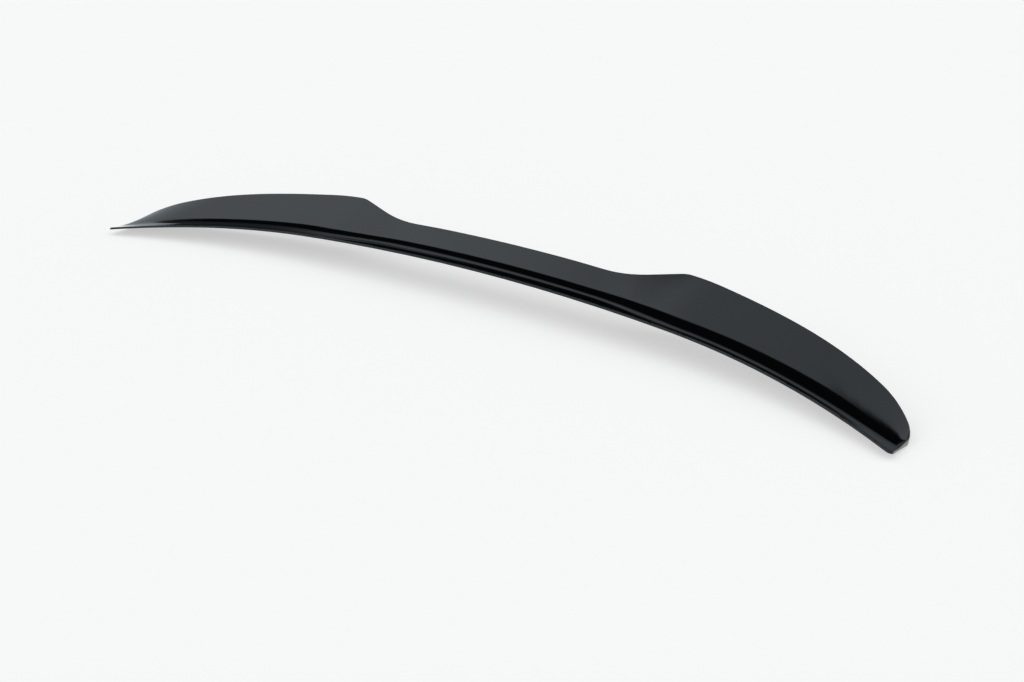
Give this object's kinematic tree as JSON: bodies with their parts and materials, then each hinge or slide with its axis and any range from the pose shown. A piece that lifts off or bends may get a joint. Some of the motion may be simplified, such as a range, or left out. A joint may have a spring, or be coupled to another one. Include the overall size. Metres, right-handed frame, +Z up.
{
  "type": "spoiler extension",
  "caption": "Gloss black moulded boot-lid spoiler: a bowed, crowned shell with a thin bonding flange, concave rise, raised wings, lower centre and tapered rounded ends.",
  "frame": {"origin": "lower front edge of the bonding flange at mid-span, where the part meets the boot lid", "axes": "+X across the car along the span, +Y to the rear of the car, +Z up"},
  "size_m": [1.25, 0.1905, 0.0754],
  "materials": {
    "gloss_black_abs": "moulded ABS with a polished gloss black cap layer"
  },
  "bodies": {
    "root": {"spoiler_shell": "gloss_black_abs"}
  },
  "joints": []
}
